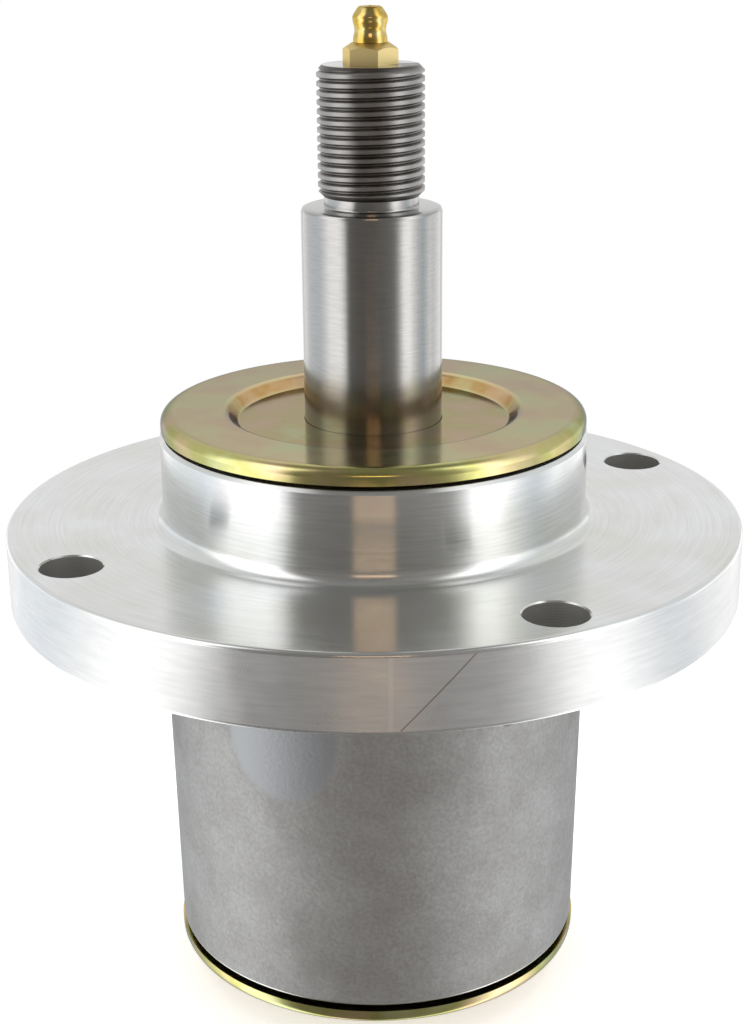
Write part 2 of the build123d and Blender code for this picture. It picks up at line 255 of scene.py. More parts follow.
def scratch(add, where, radius, start, end, half_width):
    """A mask that is 1 on a straight scratch on a round wall, from start to end, each an angle in degrees and a height
    in millimetres."""
    (u0, z0), (u1, z1) = [(radius * math.radians(turn), height) for turn, height in (start, end)]
    length = math.hypot(u1 - u0, z1 - z0)
    side = ((z1 - z0) / length, (u0 - u1) / length)
    flat = add("ShaderNodeCombineXYZ", {"X": where["angle"], "Y": where["height"], "Z": 1.0})
    off = add("ShaderNodeVectorMath", {0: flat, 1: (radius * side[0], side[1], -(u0 * side[0] + z0 * side[1]))},
              operation="DOT_PRODUCT")
    distance = add("ShaderNodeMath", {0: off}, operation="ABSOLUTE")
    return add("ShaderNodeMapRange", {"Value": distance, "From Min": half_width, "From Max": 0.4 * half_width})


def select_only(piece):
    """Make one piece the active one, and the only one selected."""
    bpy.ops.object.select_all(action="DESELECT")
    bpy.context.view_layer.objects.active = piece
    piece.select_set(True)


def edit(piece):
    """Open one piece in edit mode, alone."""
    select_only(piece)
    bpy.ops.object.mode_set(mode="EDIT")


def pick(piece, kind, test):
    """Select the vertices, edges or faces of the piece in edit mode for which the test holds."""
    bpy.ops.mesh.select_mode(type={"verts": "VERT", "edges": "EDGE", "faces": "FACE"}[kind])
    bpy.ops.mesh.select_all(action="DESELECT")
    mesh = bmesh.from_edit_mesh(piece.data)
    for item in getattr(mesh, kind):
        item.select_set(bool(test(item)))
    mesh.select_flush_mode()
    bmesh.update_edit_mesh(piece.data)


def draw_outline(name, corners, closed=True):
    """Draw half a section by extruding one vertex from corner to corner. Corners are (radius, height, cut, segments)
    in metres: the cut is how far along its edges a corner is bevelled."""
    bpy.ops.object.select_all(action="DESELECT")
    bpy.ops.mesh.primitive_plane_add(size=MM, location=(0, 0, 0))
    piece = bpy.context.object
    piece.name = piece.data.name = name
    bpy.ops.object.mode_set(mode="EDIT")
    bpy.ops.mesh.select_mode(type="VERT")
    bpy.ops.mesh.select_all(action="SELECT")
    bpy.ops.mesh.merge(type="CENTER")
    bpy.ops.transform.translate(value=(corners[0][0], 0, corners[0][1]))
    path = [corner[:2] for corner in corners] + ([corners[0][:2]] if closed else [])
    for (r0, z0), (r1, z1) in zip(path, path[1:]):
        bpy.ops.mesh.extrude_region_move(TRANSFORM_OT_translate={"value": (r1 - r0, 0, z1 - z0)})
    if closed:
        bpy.ops.mesh.select_all(action="SELECT")
        bpy.ops.mesh.remove_doubles(threshold=1e-6)
        bpy.ops.mesh.edge_face_add()
    for radius, height, cut, segments in [corner for corner in corners if len(corner) == 4]:
        at = Vector((radius, 0, height))
        pick(piece, "verts", lambda vert: (vert.co - at).length < 1e-6)
        bpy.ops.mesh.bevel(affect="VERTICES", offset_type="OFFSET", offset=cut, segments=segments)
    return piece


def turned(name, corners, steps=160):
    """Turn a piece: its outline spun once round the shaft's axis."""
    piece = draw_outline(name, corners)
    bpy.ops.mesh.select_all(action="SELECT")
    bpy.ops.mesh.delete(type="ONLY_FACE")
    pick(piece, "edges", lambda edge: all(abs(vert.co.x) < 1e-7 for vert in edge.verts))
    bpy.ops.mesh.delete(type="EDGE")
    bpy.ops.mesh.select_all(action="SELECT")
    bpy.ops.mesh.spin(steps=steps, angle=2 * math.pi, center=(0, 0, 0), axis=(0, 0, 1))
    bpy.ops.mesh.select_all(action="SELECT")
    bpy.ops.mesh.remove_doubles(threshold=MERGE)
    bpy.ops.mesh.normals_make_consistent(inside=False)
    bpy.ops.object.mode_set(mode="OBJECT")
    return piece


def combine(piece, other, operation):
    """Join, cut or trim the piece with another solid, which is used up."""
    select_only(piece)
    modifier = piece.modifiers.new(operation.title(), "BOOLEAN")
    modifier.operation = operation
    modifier.object = other
    modifier.solver = "EXACT"
    bpy.ops.object.modifier_apply(modifier=modifier.name)
    bpy.data.objects.remove(other)


def threaded_bar(name, crest, root, pitch, crest_share, low, high, steps=96):
    """A bar with a right-hand screw thread from low to high: one thread's profile, screwed upwards and cut level."""
    crest_width, root_width = crest_share * pitch, ROOT_SHARE * pitch
    flank = (pitch - crest_width - root_width) / 2
    start = low - 1.5 * pitch
    turns = math.ceil((high - low) / pitch) + 3
    heights = [(root, 0), (root, root_width), (crest, root_width + flank), (crest, root_width + flank + crest_width),
               (root, pitch)]
    piece = draw_outline(name, [(radius, start + height) for radius, height in heights], closed=False)
    bpy.ops.object.mode_set(mode="OBJECT")
    screw = piece.modifiers.new("Thread", "SCREW")
    screw.angle = 2 * math.pi
    screw.screw_offset = pitch
    screw.iterations = turns
    screw.steps = screw.render_steps = steps
    bpy.ops.object.modifier_apply(modifier=screw.name)
    edit(piece)
    bpy.ops.mesh.select_all(action="SELECT")
    bpy.ops.mesh.remove_doubles(threshold=MERGE)
    for height, upper in ((low, False), (high, True)):
        bpy.ops.mesh.select_all(action="SELECT")
        bpy.ops.mesh.bisect(plane_co=(0, 0, height), plane_no=(0, 0, 1), use_fill=True, clear_outer=upper,
                            clear_inner=not upper)
    bpy.ops.mesh.select_all(action="SELECT")
    bpy.ops.mesh.normals_make_consistent(inside=False)
    bpy.ops.object.mode_set(mode="OBJECT")
    return piece


def finish(piece, materials, body, nodes):
    """Shade the piece, give it its materials and say what it stands for."""
    select_only(piece)
    bpy.ops.object.shade_smooth_by_angle(angle=SMOOTH_ANGLE)
    even = piece.modifiers.new("Even shading", "WEIGHTED_NORMAL")
    even.keep_sharp = True
    bpy.ops.object.modifier_apply(modifier=even.name)
    for material in materials:
        piece.data.materials.append(material)
    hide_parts(*nodes)
    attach(piece, body)


def paint_where(piece, index, test):
    """Give the material of that index to the faces whose centre passes the test."""
    for face in piece.data.polygons:
        if test(face.center):
            face.material_index = index


def away(point):
    """Distance of a point from the shaft's axis."""
    return math.hypot(point[0], point[1])


# Materials


def turned_aluminium(s):
    # Cast aluminium faced on a lathe with a pointed tool: bright, with sharp reflections round the piece, blurred
    # across the tool lines. The real feed is about 0.15 mm; the lines are drawn 0.45 mm apart so that they show.
    made, add, shader = new_material("turned_aluminium", 0.96, 0.18, across=0.9)
    where = measures(add)
    lines = tool_lines(add, where, 0.45)
    stains = add("ShaderNodeTexNoise", {"Vector": where["place"], "Scale": 1 / 14, "Detail": 2})
    shade = add("ShaderNodeValToRGB", {"Fac": stains}, [(0.35, s.turned_colour), (0.75, s.turned_tint)])
    marks = add("ShaderNodeValToRGB", {"Fac": lines}, [(0.3, "#F3F3F3"), (0.7, "#FFFFFF")])
    shade = add("ShaderNodeMix", {0: 1.0, 6: shade, 7: marks}, **TIMES)
    blur = add("ShaderNodeMapRange", {"Value": lines, "From Min": 0.3, "From Max": 0.7, "To Min": 0.17, "To Max": 0.2})
    set_sockets(shader, {"Base Color": shade, "Roughness": blur})
    return made


def skimmed_aluminium(s):
    # The flange's rim, skimmed with a blunt tool and handled since: a softer shine over a thin dull skin, one long
    # hairline scratch, a faint lighter line beside it, and small nicks about 0.8 mm wide.
    made, add, shader = new_material("skimmed_aluminium", 0.8, 0.3, across=0.3)
    where = measures(add)
    lines = tool_lines(add, where, 0.6, run=9.0)
    shade = add("ShaderNodeValToRGB", {"Fac": lines}, [(0.3, "#C0C0C0"), (0.7, "#CBCBCA")])
    pits = add("ShaderNodeTexVoronoi", {"Vector": where["place"], "Scale": 1 / 13})
    nicks = add("ShaderNodeMapRange", {"Value": pits, "From Min": 0.06, "From Max": 0.03})
    rim = s.flange_radius / MM
    hairline = scratch(add, where, rim, (-105.2, 93.1), (-116.2, 79.4), 0.17)
    light_line = scratch(add, where, rim, (-117.0, 93.1), (-117.05, 79.1), 0.5)
    for mask, tint in ((nicks, "#7C7B79"), (hairline, "#978983"), (light_line, "#CDCDCC")):
        shade = add("ShaderNodeMix", {0: mask, 6: shade, 7: tint}, **OVER)
    clouds = add("ShaderNodeTexNoise", {"Vector": where["place"], "Scale": 1 / 6, "Detail": 2})
    blur = add("ShaderNodeMapRange",
               {"Value": clouds, "From Min": 0.3, "From Max": 0.7, "To Min": 0.27, "To Max": 0.35})
    set_sockets(shader, {"Base Color": shade, "Roughness": blur})
    return made


def cast_aluminium(s):
    # Aluminium as it came out of a sand mould: a dull grey skin, clouded 5 to 15 mm across, with grains of about
    # 0.7 mm. One oval spot is smoother and a darker bluish grey, and there is one small mark.
    made, add, shader = new_material("sand_cast_aluminium", 0.92, 0.6, edge="#9C9C9C")
    where = measures(add)
    grain = add("ShaderNodeTexNoise", {"Vector": where["place"], "Scale": 1 / 0.7, "Detail": 3})
    clouds = add("ShaderNodeTexNoise", {"Vector": where["place"], "Scale": 1 / 14, "Detail": 6, "Roughness": 0.68})
    shade = add("ShaderNodeValToRGB", {"Fac": clouds}, [(0.38, s.cast_colour), (0.64, s.cast_tint)])
    specks = add("ShaderNodeValToRGB", {"Fac": grain}, [(0.3, "#EAEAEA"), (0.7, "#FFFFFF")])
    shade = add("ShaderNodeMix", {0: 1.0, 6: shade, 7: specks}, **TIMES)
    smooth_dark_spot = spot(add, where, -144, 62, 15, 11, 0.1)
    mark = spot(add, where, -82.7, 63.8, 1.9, 0.45, 0.3)
    for mask, tint in ((smooth_dark_spot, "#9C9EA1"), (mark, "#7D7B78")):
        shade = add("ShaderNodeMix", {0: mask, 6: shade, 7: tint}, **OVER)
    blur = add("ShaderNodeMapRange", {"Value": smooth_dark_spot, "To Min": 0.62, "To Max": 0.52})
    bump = add("ShaderNodeBump", {"Height": grain, "Distance": 0.05 * MM})
    set_sockets(shader, {"Base Color": shade, "Roughness": blur, "Normal": bump})
    return made


def drilled_aluminium():
    # The walls of the bolt holes, as the drill left them: dull grey, with rings about 0.5 mm apart. The grey is darker
    # than the faces round the holes, partly the drill's duller finish and partly painted shade inside the holes.
    made, add, shader = new_material("drilled_aluminium", 0.6, 0.5)
    where = measures(add)
    rings = add("ShaderNodeTexWave", {"Vector": where["place"], "Scale": 0.63, "Distortion": 2.5, "Detail": 2},
                wave_type="BANDS", bands_direction="Z")
    shade = add("ShaderNodeValToRGB", {"Fac": rings}, [(0.0, "#8C8B87"), (1.0, "#969591")])
    set_sockets(shader, {"Base Color": shade})
    return made


def ground_steel(s):
    # Carbon steel ground between centres: a silvery grey mirror, blurred across grinding lines that run round it. They
    # are a few hundredths of a millimetre apart, drawn at 0.3 mm so that they show.
    made, add, shader = new_material("ground_steel", 1.0, 0.17, across=0.6)
    where = measures(add)
    lines = tool_lines(add, where, 0.3)
    marks = add("ShaderNodeValToRGB", {"Fac": lines}, [(0.3, "#F1F1F1"), (0.7, "#FFFFFF")])
    shade = add("ShaderNodeMix", {0: 1.0, 6: s.steel_colour, 7: marks}, **TIMES)
    film = add("ShaderNodeTexNoise", {"Vector": where["place"], "Scale": 1 / 7, "Detail": 3})
    blur = add("ShaderNodeMapRange", {"Value": film, "From Min": 0.35, "From Max": 0.65, "To Min": 0.15, "To Max": 0.2})
    set_sockets(shader, {"Base Color": shade, "Roughness": blur})
    return made


def cut_thread_steel(s):
    # The same steel, cut to a thread: grey worn crests, and darker roots, partly oil and dust and partly painted shade
    # in the thread's recesses.
    made, add, shader = new_material("cut_thread_steel", 1.0, 0.35, across=0.3)
    where = measures(add)
    crest = s.thread_radius / MM
    oil = add("ShaderNodeTexNoise", {"Vector": where["place"], "Scale": 1 / 3, "Detail": 4})
    level = add("ShaderNodeMath", {0: oil, 1: 0.5, 2: where["radius"]}, operation="MULTIPLY_ADD")
    # Darker towards the roots: painted shade in the recesses, and oil and dust
    depth = add("ShaderNodeMapRange", {"Value": level, "From Min": crest - 0.4, "From Max": crest + 0.1})
    shade = add("ShaderNodeValToRGB", {"Fac": depth}, [(0.0, s.thread_root_shade_and_oil_colour), (1.0, s.crest_colour)])
    blur = add("ShaderNodeMapRange", {"Value": oil, "From Min": 0.35, "From Max": 0.65, "To Min": 0.3, "To Max": 0.42})
    set_sockets(shader, {"Base Color": shade, "Roughness": blur})
    return made


def yellow_zinc(s):
    # Pressed steel sheet, zinc plated and dipped in a yellow chromate bath: a glossy film, yellow-green on the rim,
    # where the bath drained and it is thickest, and pinkish tan on the flat, with pink and green clouds. The darker
    # brown on the dish's wall is painted shade.
    made, add, shader = new_material("yellow_passivated_zinc", 1.0, 0.15, edge="#AAB1BC")
    where = measures(add)
    reach = 40  # millimetres from the axis, just past the rim
    flat = add("ShaderNodeMapRange", {"Value": where["radius"], "From Max": reach})
    # The dish's wall, between the floor and the ring, takes the darker brown of painted shade
    films = ((25, s.zinc_floor), (25.6, s.zinc_bend_painted_shade), (26.8, s.zinc_bend_painted_shade), (27.4, s.zinc_ring), (36.8, s.zinc_ring),
             (38.4, s.zinc_rim))
    shade = add("ShaderNodeValToRGB", {"Fac": flat}, [(radius / reach, film) for radius, film in films])
    clouds = add("ShaderNodeTexNoise", {"Vector": where["place"], "Scale": 1 / 11, "Detail": 3})
    for full_at, most, tint in ((0.66, 0.8, s.zinc_pink), (0.28, 0.7, s.zinc_green)):
        cloud = add("ShaderNodeMapRange", {"Value": clouds, "From Min": 0.46, "From Max": full_at, "To Max": most})
        shade = add("ShaderNodeMix", {0: cloud, 6: shade, 7: tint}, **OVER)
    dust = add("ShaderNodeTexNoise", {"Vector": where["place"], "Scale": 1 / 4, "Detail": 4})
    blur = add("ShaderNodeMapRange", {"Value": dust, "From Min": 0.35, "From Max": 0.7, "To Min": 0.11, "To Max": 0.2})
    waves = add("ShaderNodeTexNoise", {"Vector": where["place"], "Scale": 1 / 1.6, "Detail": 2})
    bump = add("ShaderNodeBump", {"Height": waves, "Distance": 0.0025 * MM})
    set_sockets(shader, {"Base Color": shade, "Roughness": blur, "Normal": bump})
    return made


def gold_zinc(s):
    # Turned steel, zinc plated and dipped in a yellow bath: glossy gold, uneven over the small faces, and duller on the
    # hexagon, where the spanner goes.
    made, add, shader = new_material("gold_passivated_zinc", 1.0, 0.2, edge="#E8DFC8")
    where = measures(add)
    clouds = add("ShaderNodeTexNoise", {"Vector": where["place"], "Scale": 1 / 1.8, "Detail": 3})
    shade = add("ShaderNodeValToRGB", {"Fac": clouds}, [(0.4, s.gold_colour), (0.65, s.gold_tint)])
    hexagon = add("ShaderNodeMapRange", {"Value": where["radius"], "From Min": 3.1, "From Max": 3.4})
    shade = add("ShaderNodeMix", {0: hexagon, 6: shade, 7: s.hexagon_colour}, **OVER)
    blur = add("ShaderNodeMapRange", {"Value": hexagon, "To Min": 0.16, "To Max": 0.42})
    waves = add("ShaderNodeTexNoise", {"Vector": where["place"], "Scale": 2, "Detail": 2})
    bump = add("ShaderNodeBump", {"Height": waves, "Distance": 0.004 * MM})
    set_sockets(shader, {"Base Color": shade, "Roughness": blur, "Normal": bump})
    return made


def inner_steel(name, shade, tint, roughness, spacing, across=0.4):
    # Inner steel pieces: turned, ground or drawn lines of that spacing, in two shades of the same grey.
    made, add, shader = new_material(name, 1.0, roughness, across=across)
    where = measures(add)
    lines = tool_lines(add, where, spacing)
    streaks = add("ShaderNodeValToRGB", {"Fac": lines}, [(0.3, shade), (0.7, tint)])
    film = add("ShaderNodeTexNoise", {"Vector": where["place"], "Scale": 1 / 3, "Detail": 2})
    blur = add("ShaderNodeMapRange",
               {"Value": film, "From Min": 0.35, "From Max": 0.65, "To Min": roughness, "To Max": 1.5 * roughness})
    set_sockets(shader, {"Base Color": streaks, "Roughness": blur})
    return made


def moulded_rubber():
    # Nitrile rubber, moulded: near-black and matt, with a fine pebble of about 0.3 mm and a grease film.
    made, add, shader = new_material("moulded_nitrile_rubber", 0.0, 0.5)
    where = measures(add)
    pebble = add("ShaderNodeTexNoise", {"Vector": where["place"], "Scale": 1 / 0.3, "Detail": 2})
    shade = add("ShaderNodeValToRGB", {"Fac": pebble}, [(0.3, "#19191B"), (0.7, "#26262A")])
    grease = add("ShaderNodeTexNoise", {"Vector": where["place"], "Scale": 0.5, "Detail": 2})
    blur = add("ShaderNodeMapRange",
               {"Value": grease, "From Min": 0.3, "From Max": 0.7, "To Min": 0.35, "To Max": 0.65})
    bump = add("ShaderNodeBump", {"Height": pebble, "Distance": 0.02 * MM})
    set_sockets(shader, {"Base Color": shade, "Roughness": blur, "Normal": bump, "IOR": 1.52})
    return made


# Operators


class SPINDLE_OT_housing(bpy.types.Operator):
    """Model the aluminium housing: cast body, round flange and turned pilot"""
    bl_idname = "spindle.housing"
    bl_label = "Housing"

    def execute(self, context):
        s = context.scene.spindle_housing
        bottom, top = housing_low[2], housing_high[2]
        lower_edge = s.body_radius - (s.flange_bottom - bottom) * math.tan(s.draft)
        piece = turned("housing_casting", [
            (s.bore_radius, bottom + s.seat_depth),
            (s.seat_radius, bottom + s.seat_depth),
            (s.seat_radius, bottom, 0.8 * MM, 1),
            (lower_edge, bottom, 0.6 * MM, 2),
            (s.body_radius, s.flange_bottom, 4.0 * MM, 8),
            (s.flange_radius, s.flange_bottom, 0.8 * MM, 2),
            (s.flange_radius, s.flange_top, 0.8 * MM, 3),
            (s.pilot_radius, s.flange_top, 2.7 * MM, 10),
            (s.pilot_radius, top, 0.6 * MM, 1),
            (s.seat_radius, top, 0.8 * MM, 1),
            (s.seat_radius, top - s.seat_depth),
            (s.bore_radius, top - s.seat_depth),
        ], steps=192)
        # Each bolt hole is drilled with a tool that breaks both its edges and stands past the flange
        hole, bevel, spare = s.bolt_hole_radius, 0.25 * MM, 0.5 * MM
        holes = []
        for i in range(s.bolt_count):
            drill = turned("bolt_hole", [
                (0, s.flange_bottom - spare), (hole + bevel + spare, s.flange_bottom - spare),
                (hole, s.flange_bottom + bevel), (hole, s.flange_top - bevel),
                (hole + bevel + spare, s.flange_top + spare), (0, s.flange_top + spare),
            ], steps=64)
            place = (Matrix.Rotation(2 * math.pi * i / s.bolt_count, 4, "Z")
                     @ Matrix.Translation((s.bolt_circle_radius, 0, 0)))
            drill.data.transform(place)
            holes.append(place.to_translation())
            combine(piece, drill, "DIFFERENCE")
        finish(piece, [turned_aluminium(s), skimmed_aluminium(s), cast_aluminium(s), drilled_aluminium()],
               "housing", ["housing"])
        paint_where(piece, 1, lambda at: away(at) > s.flange_radius - 0.03 * MM)
        paint_where(piece, 2, lambda at: bottom + 0.7 * MM < at[2] < s.flange_bottom + 0.01 * MM
                    and s.seat_radius + 1 * MM < away(at) < s.flange_radius - 1 * MM)
        # The bolt holes' walls take the darker grey, partly painted shade inside the holes
        paint_where(piece, 3, lambda at: s.flange_bottom < at[2] < s.flange_top
                    and any(away(at - middle) < hole + 0.02 * MM for middle in holes))
        return {"FINISHED"}


class SPINDLE_OT_shaft(bpy.types.Operator):
    """Model the shaft: blade hub with its tapped hole, ground journal, shoulder, neck and threaded end"""
    bl_idname = "spindle.shaft"
    bl_label = "Shaft"

    def execute(self, context):
        s = context.scene.spindle_shaft
        top = shaft_high[2]
        # A groove in the journal, under the cap's bore
        groove, groove_width = housing_high[2] + 0.3 * MM, 1 * MM
        groove_radius = s.journal_radius - 0.4 * MM
        neck_top = s.shoulder + 2.2 * MM
        piece = turned("spindle_shaft", [
            (0, 0),
            (s.hub_radius, 0, 0.8 * MM, 1),
            (s.hub_radius, s.hub_top, 0.4 * MM, 1),
            (s.journal_radius, s.hub_top),
            (s.journal_radius, groove),
            (groove_radius, groove),
            (groove_radius, groove + groove_width),
            (s.journal_radius, groove + groove_width),
            (s.journal_radius, s.shoulder, 0.8 * MM, 2),
            (s.neck_radius, s.shoulder, 0.4 * MM, 3),
            (s.neck_radius, neck_top),
            (0, neck_top),
        ])
        # The thread runs out into the neck, and its end is bevelled
        root = s.thread_radius - s.thread_depth
        thread = threaded_bar("thread", s.thread_radius, root, s.thread_pitch, crest_share=0.42,
                              low=neck_top - 0.6 * MM, high=top)
        spare = 0.05 * MM
        envelope = turned("thread_ends", [
            (0, neck_top - 0.8 * MM),
            (s.neck_radius - 0.1 * MM, neck_top - 0.8 * MM),
            (s.neck_radius - 0.1 * MM, neck_top - 0.4 * MM),
            (s.thread_radius + spare, neck_top + 0.7 * MM),
            (s.thread_radius + spare, top - 1 * MM - spare),
            (s.thread_radius - 1 * MM, top),
            (0, top),
        ])
        combine(thread, envelope, "INTERSECT")
        combine(piece, thread, "UNION")
        # The blade bolt's hole is tapped from below, and its mouth is bevelled
        tapped, below, mouth_top = s.blade_thread_radius, -0.5 * MM, 1.4 * MM
        tap = threaded_bar("blade_tap", tapped, tapped - 0.78 * MM, s.blade_thread_pitch, crest_share=0.2,
                           low=below, high=s.blade_thread_depth, steps=64)
        combine(piece, tap, "DIFFERENCE")
        mouth = turned("blade_tap_mouth", [(0, below), (tapped + 0.9 * MM, below), (tapped - 1 * MM, mouth_top),
                                           (0, mouth_top)], steps=96)
        combine(piece, mouth, "DIFFERENCE")
        hole, low, high = 3.185 * MM, top - 8 * MM, top + 1 * MM
        bore = turned("fitting_hole", [(0, low), (hole, low), (hole, high), (0, high)], steps=64)
        combine(piece, bore, "DIFFERENCE")
        finish(piece, [ground_steel(s), cut_thread_steel(s)], "shaft", ["shaft"])
        paint_where(piece, 1, lambda at: neck_top - 0.5 * MM < at[2] < top - 0.01 * MM and away(at) > 5 * MM)
        return {"FINISHED"}


class SPINDLE_OT_dust_caps(bpy.types.Operator):
    """Model the two pressed dust caps, one the mirror of the other"""
    bl_idname = "spindle.dust_caps"
    bl_label = "Dust caps"

    def execute(self, context):
        s = context.scene.spindle_caps
        top = cap_high[2]
        floor = top - s.dish_depth
        under = floor - s.sheet
        # The dish's wall slopes at 45 degrees: half of that gives how far a bend shifts and reaches
        bend = math.tan(math.radians(22.5))
        shift = s.sheet * bend
        ring = s.dish_radius + s.dish_depth
        rim_edge = top - s.rim_height
        zinc = yellow_zinc(s)
        middle = (housing_low[2] + housing_high[2]) / 2
        for name, node in (("upper_cap_pressing", "upper_dust_cap"), ("lower_cap_pressing", "lower_dust_cap")):
            piece = turned(name, [
                (s.bore_radius, under),
                (s.dish_radius + shift, under, 2.0 * MM * bend, 4),
                (ring + shift, under + s.dish_depth, 0.5 * MM * bend, 3),
                (s.radius - s.sheet, under + s.dish_depth, 0.4 * MM, 3),
                (s.radius - s.sheet, rim_edge),
                (s.radius, rim_edge),
                (s.radius, top, 1.9 * MM, 8),
                (ring, top, 2.0 * MM * bend, 4),
                (s.dish_radius, floor, 0.5 * MM * bend, 3),
                (s.bore_radius, floor),
            ], steps=192)
            if node == "lower_dust_cap":
                edit(piece)
                bpy.ops.mesh.select_all(action="SELECT")
                bpy.ops.transform.mirror(constraint_axis=(False, False, True), center_override=(0, 0, middle))
                bpy.ops.mesh.normals_make_consistent(inside=False)
                bpy.ops.object.mode_set(mode="OBJECT")
            finish(piece, [zinc], "shaft", [node])
        return {"FINISHED"}


class SPINDLE_OT_grease_fitting(bpy.types.Operator):
    """Model the grease fitting: coned hexagon, waisted neck, round head and open mouth"""
    bl_idname = "spindle.grease_fitting"
    bl_label = "Grease fitting"

    def execute(self, context):
        s = context.scene.spindle_fitting
        base, top = shaft_high[2], fitting_high[2]
        hexagon_top = base + s.hexagon_height
        corner = s.across_flats / math.sqrt(3)
        slope = math.tan(s.hexagon_cone)
        bpy.ops.object.select_all(action="DESELECT")
        bpy.ops.mesh.primitive_cylinder_add(vertices=6, radius=corner, depth=s.hexagon_height,
                                            location=(0, 0, (base + hexagon_top) / 2))
        piece = bpy.context.object
        piece.name = piece.data.name = "grease_fitting_zinc"
        bpy.ops.object.transform_apply()
        piece.data.transform(Matrix.Rotation(s.hexagon_turn, 4, "Z"))
        outer = corner + 1 * MM
        crown = turned("hexagon_crown", [
            (0, base - 1 * MM), (outer, base - 1 * MM), (outer, hexagon_top - (outer - s.hexagon_flat) * slope),
            (s.hexagon_flat, hexagon_top), (0, hexagon_top),
        ], steps=96)
        combine(piece, crown, "INTERSECT")
        # The stem, neck and head in one, and in them the ball's mouth, the spring's chamber and the grease channel
        screw, neck, waist, head, crown_edge = 3.175 * MM, 3.0 * MM, 2.65 * MM, 3.1 * MM, 2.0 * MM
        mouth, chamber, channel = 0.797 * MM, 1.45 * MM, 0.9 * MM
        stem = turned("fitting_stem", [
            (0, base - 6 * MM), (screw, base - 6 * MM, 0.5 * MM, 1),
            (screw, base + 1 * MM), (neck, base + 1 * MM),
            (neck, hexagon_top + 0.8 * MM, 0.4 * MM, 3), (waist, hexagon_top + 2.1 * MM, 0.6 * MM, 4),
            (head, hexagon_top + 3.7 * MM, 0.4 * MM, 4), (head, hexagon_top + 4.4 * MM, 0.35 * MM, 4),
            (crown_edge, top, 0.45 * MM, 4), (mouth, top, 0.1 * MM, 2),
            (mouth, top - 0.4 * MM), (chamber, top - 1.3 * MM),
            (chamber, base + 1.6 * MM), (channel, base + 1.6 * MM),
            (channel, base + 0.5 * MM), (0, base + 0.5 * MM),
        ], steps=96)
        combine(piece, stem, "UNION")
        finish(piece, [gold_zinc(s)], "shaft", ["grease_fitting_body"])
        return {"FINISHED"}


class SPINDLE_OT_inner_pieces(bpy.types.Operator):
    """Give the bearings, sleeve, washers, seals, check ball and spring their finishes"""
    bl_idname = "spindle.inner_pieces"
    bl_label = "Inner pieces"

    def execute(self, context):
        finishes = {
            # Hardened chrome steel, ground and lapped: a near mirror with lines too fine to see, drawn 0.2 mm apart
            "bearing_steel": inner_steel("lapped_bearing_steel", "#CFCFCF", "#DADADA", 0.1, 0.2),
            # Mild steel bar, turned and parted off
            "washer_steel": inner_steel("turned_mild_steel", "#B4B2AF", "#C8C6C3", 0.25, 0.35),
            # Soft steel strip, pressed and riveted
            "cage_steel": inner_steel("pressed_strip_steel", "#ABA69D", "#C2BEB6", 0.3, 1.2, across=0.0),
            # Spring wire, drawn through a die
            "spring_steel": inner_steel("drawn_spring_wire", "#9C9A97", "#B6B4B1", 0.28, 0.15, across=0.0),
            "seal_rubber": moulded_rubber(),
        }
        for subpart in frame["record"]["subparts"]:
            if subpart["material_slot"] in finishes:
                made = frame["nodes"][subpart["node"]].data.materials
                made.clear()
                made.append(finishes[subpart["material_slot"]])
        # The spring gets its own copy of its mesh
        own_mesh(frame["nodes"]["grease_fitting_spring"])
        return {"FINISHED"}


# What shiny metal sees round it: white card with dark gaps, by degrees round from the camera. Each level is given with
# how warm it is, from -1 for bluish to 1 for brownish.
CARDS = (
    (-150, 1.45, 0), (-141, 1.30, -0.6), (-106, 1.28, -1), (-97, 1.45, -0.5), (-90, 1.75, 0), (-82, 2.15, 0),
    (-60, 2.30, 0), (-54, 1.90, 0), (-49.5, 1.50, 0), (-45.5, 0.56, 0.3), (-40, 0.27, 0.6), (-25, 0.215, 0.8),
    (0, 0.20, 1), (24, 0.29, 0.6), (36, 0.36, 0.4), (42, 0.50, 0.2), (47, 0.85, 0), (53, 1.60, 0), (58, 2.35, 0),
    (70, 2.40, 0), (77, 1.80, 0), (86, 1.35, -0.5), (93, 1.10, -0.8), (102, 1.00, -1), (110, 1.30, -0.5),
    (120, 1.65, 0), (131, 1.40, 0), (147, 1.60, 0),
)
BRIGHTEST = 4.0  # the ramp holds each level as a share of this
# How the cards lean: what the angle from the camera is multiplied by before its level is looked up, by the sine of the
# elevation. A colour ramp holds no more than 1, so it has each as a share of WIDEST.
WIDEST = 1.2
LEAN = ((-0.45, 0.80), (-0.34, 1.0), (-0.20, 1.12), (-0.1, 1.12), (0.0, 1.0))
# The bare wood strip in front: how bright it is, by the sine of the elevation
WOOD = ((-0.385, 0.0), (-0.37, 0.55), (-0.315, 0.55), (-0.30, 0.0), (0.35, 0.0), (0.37, 0.8), (0.45, 0.8), (0.47, 0.0))


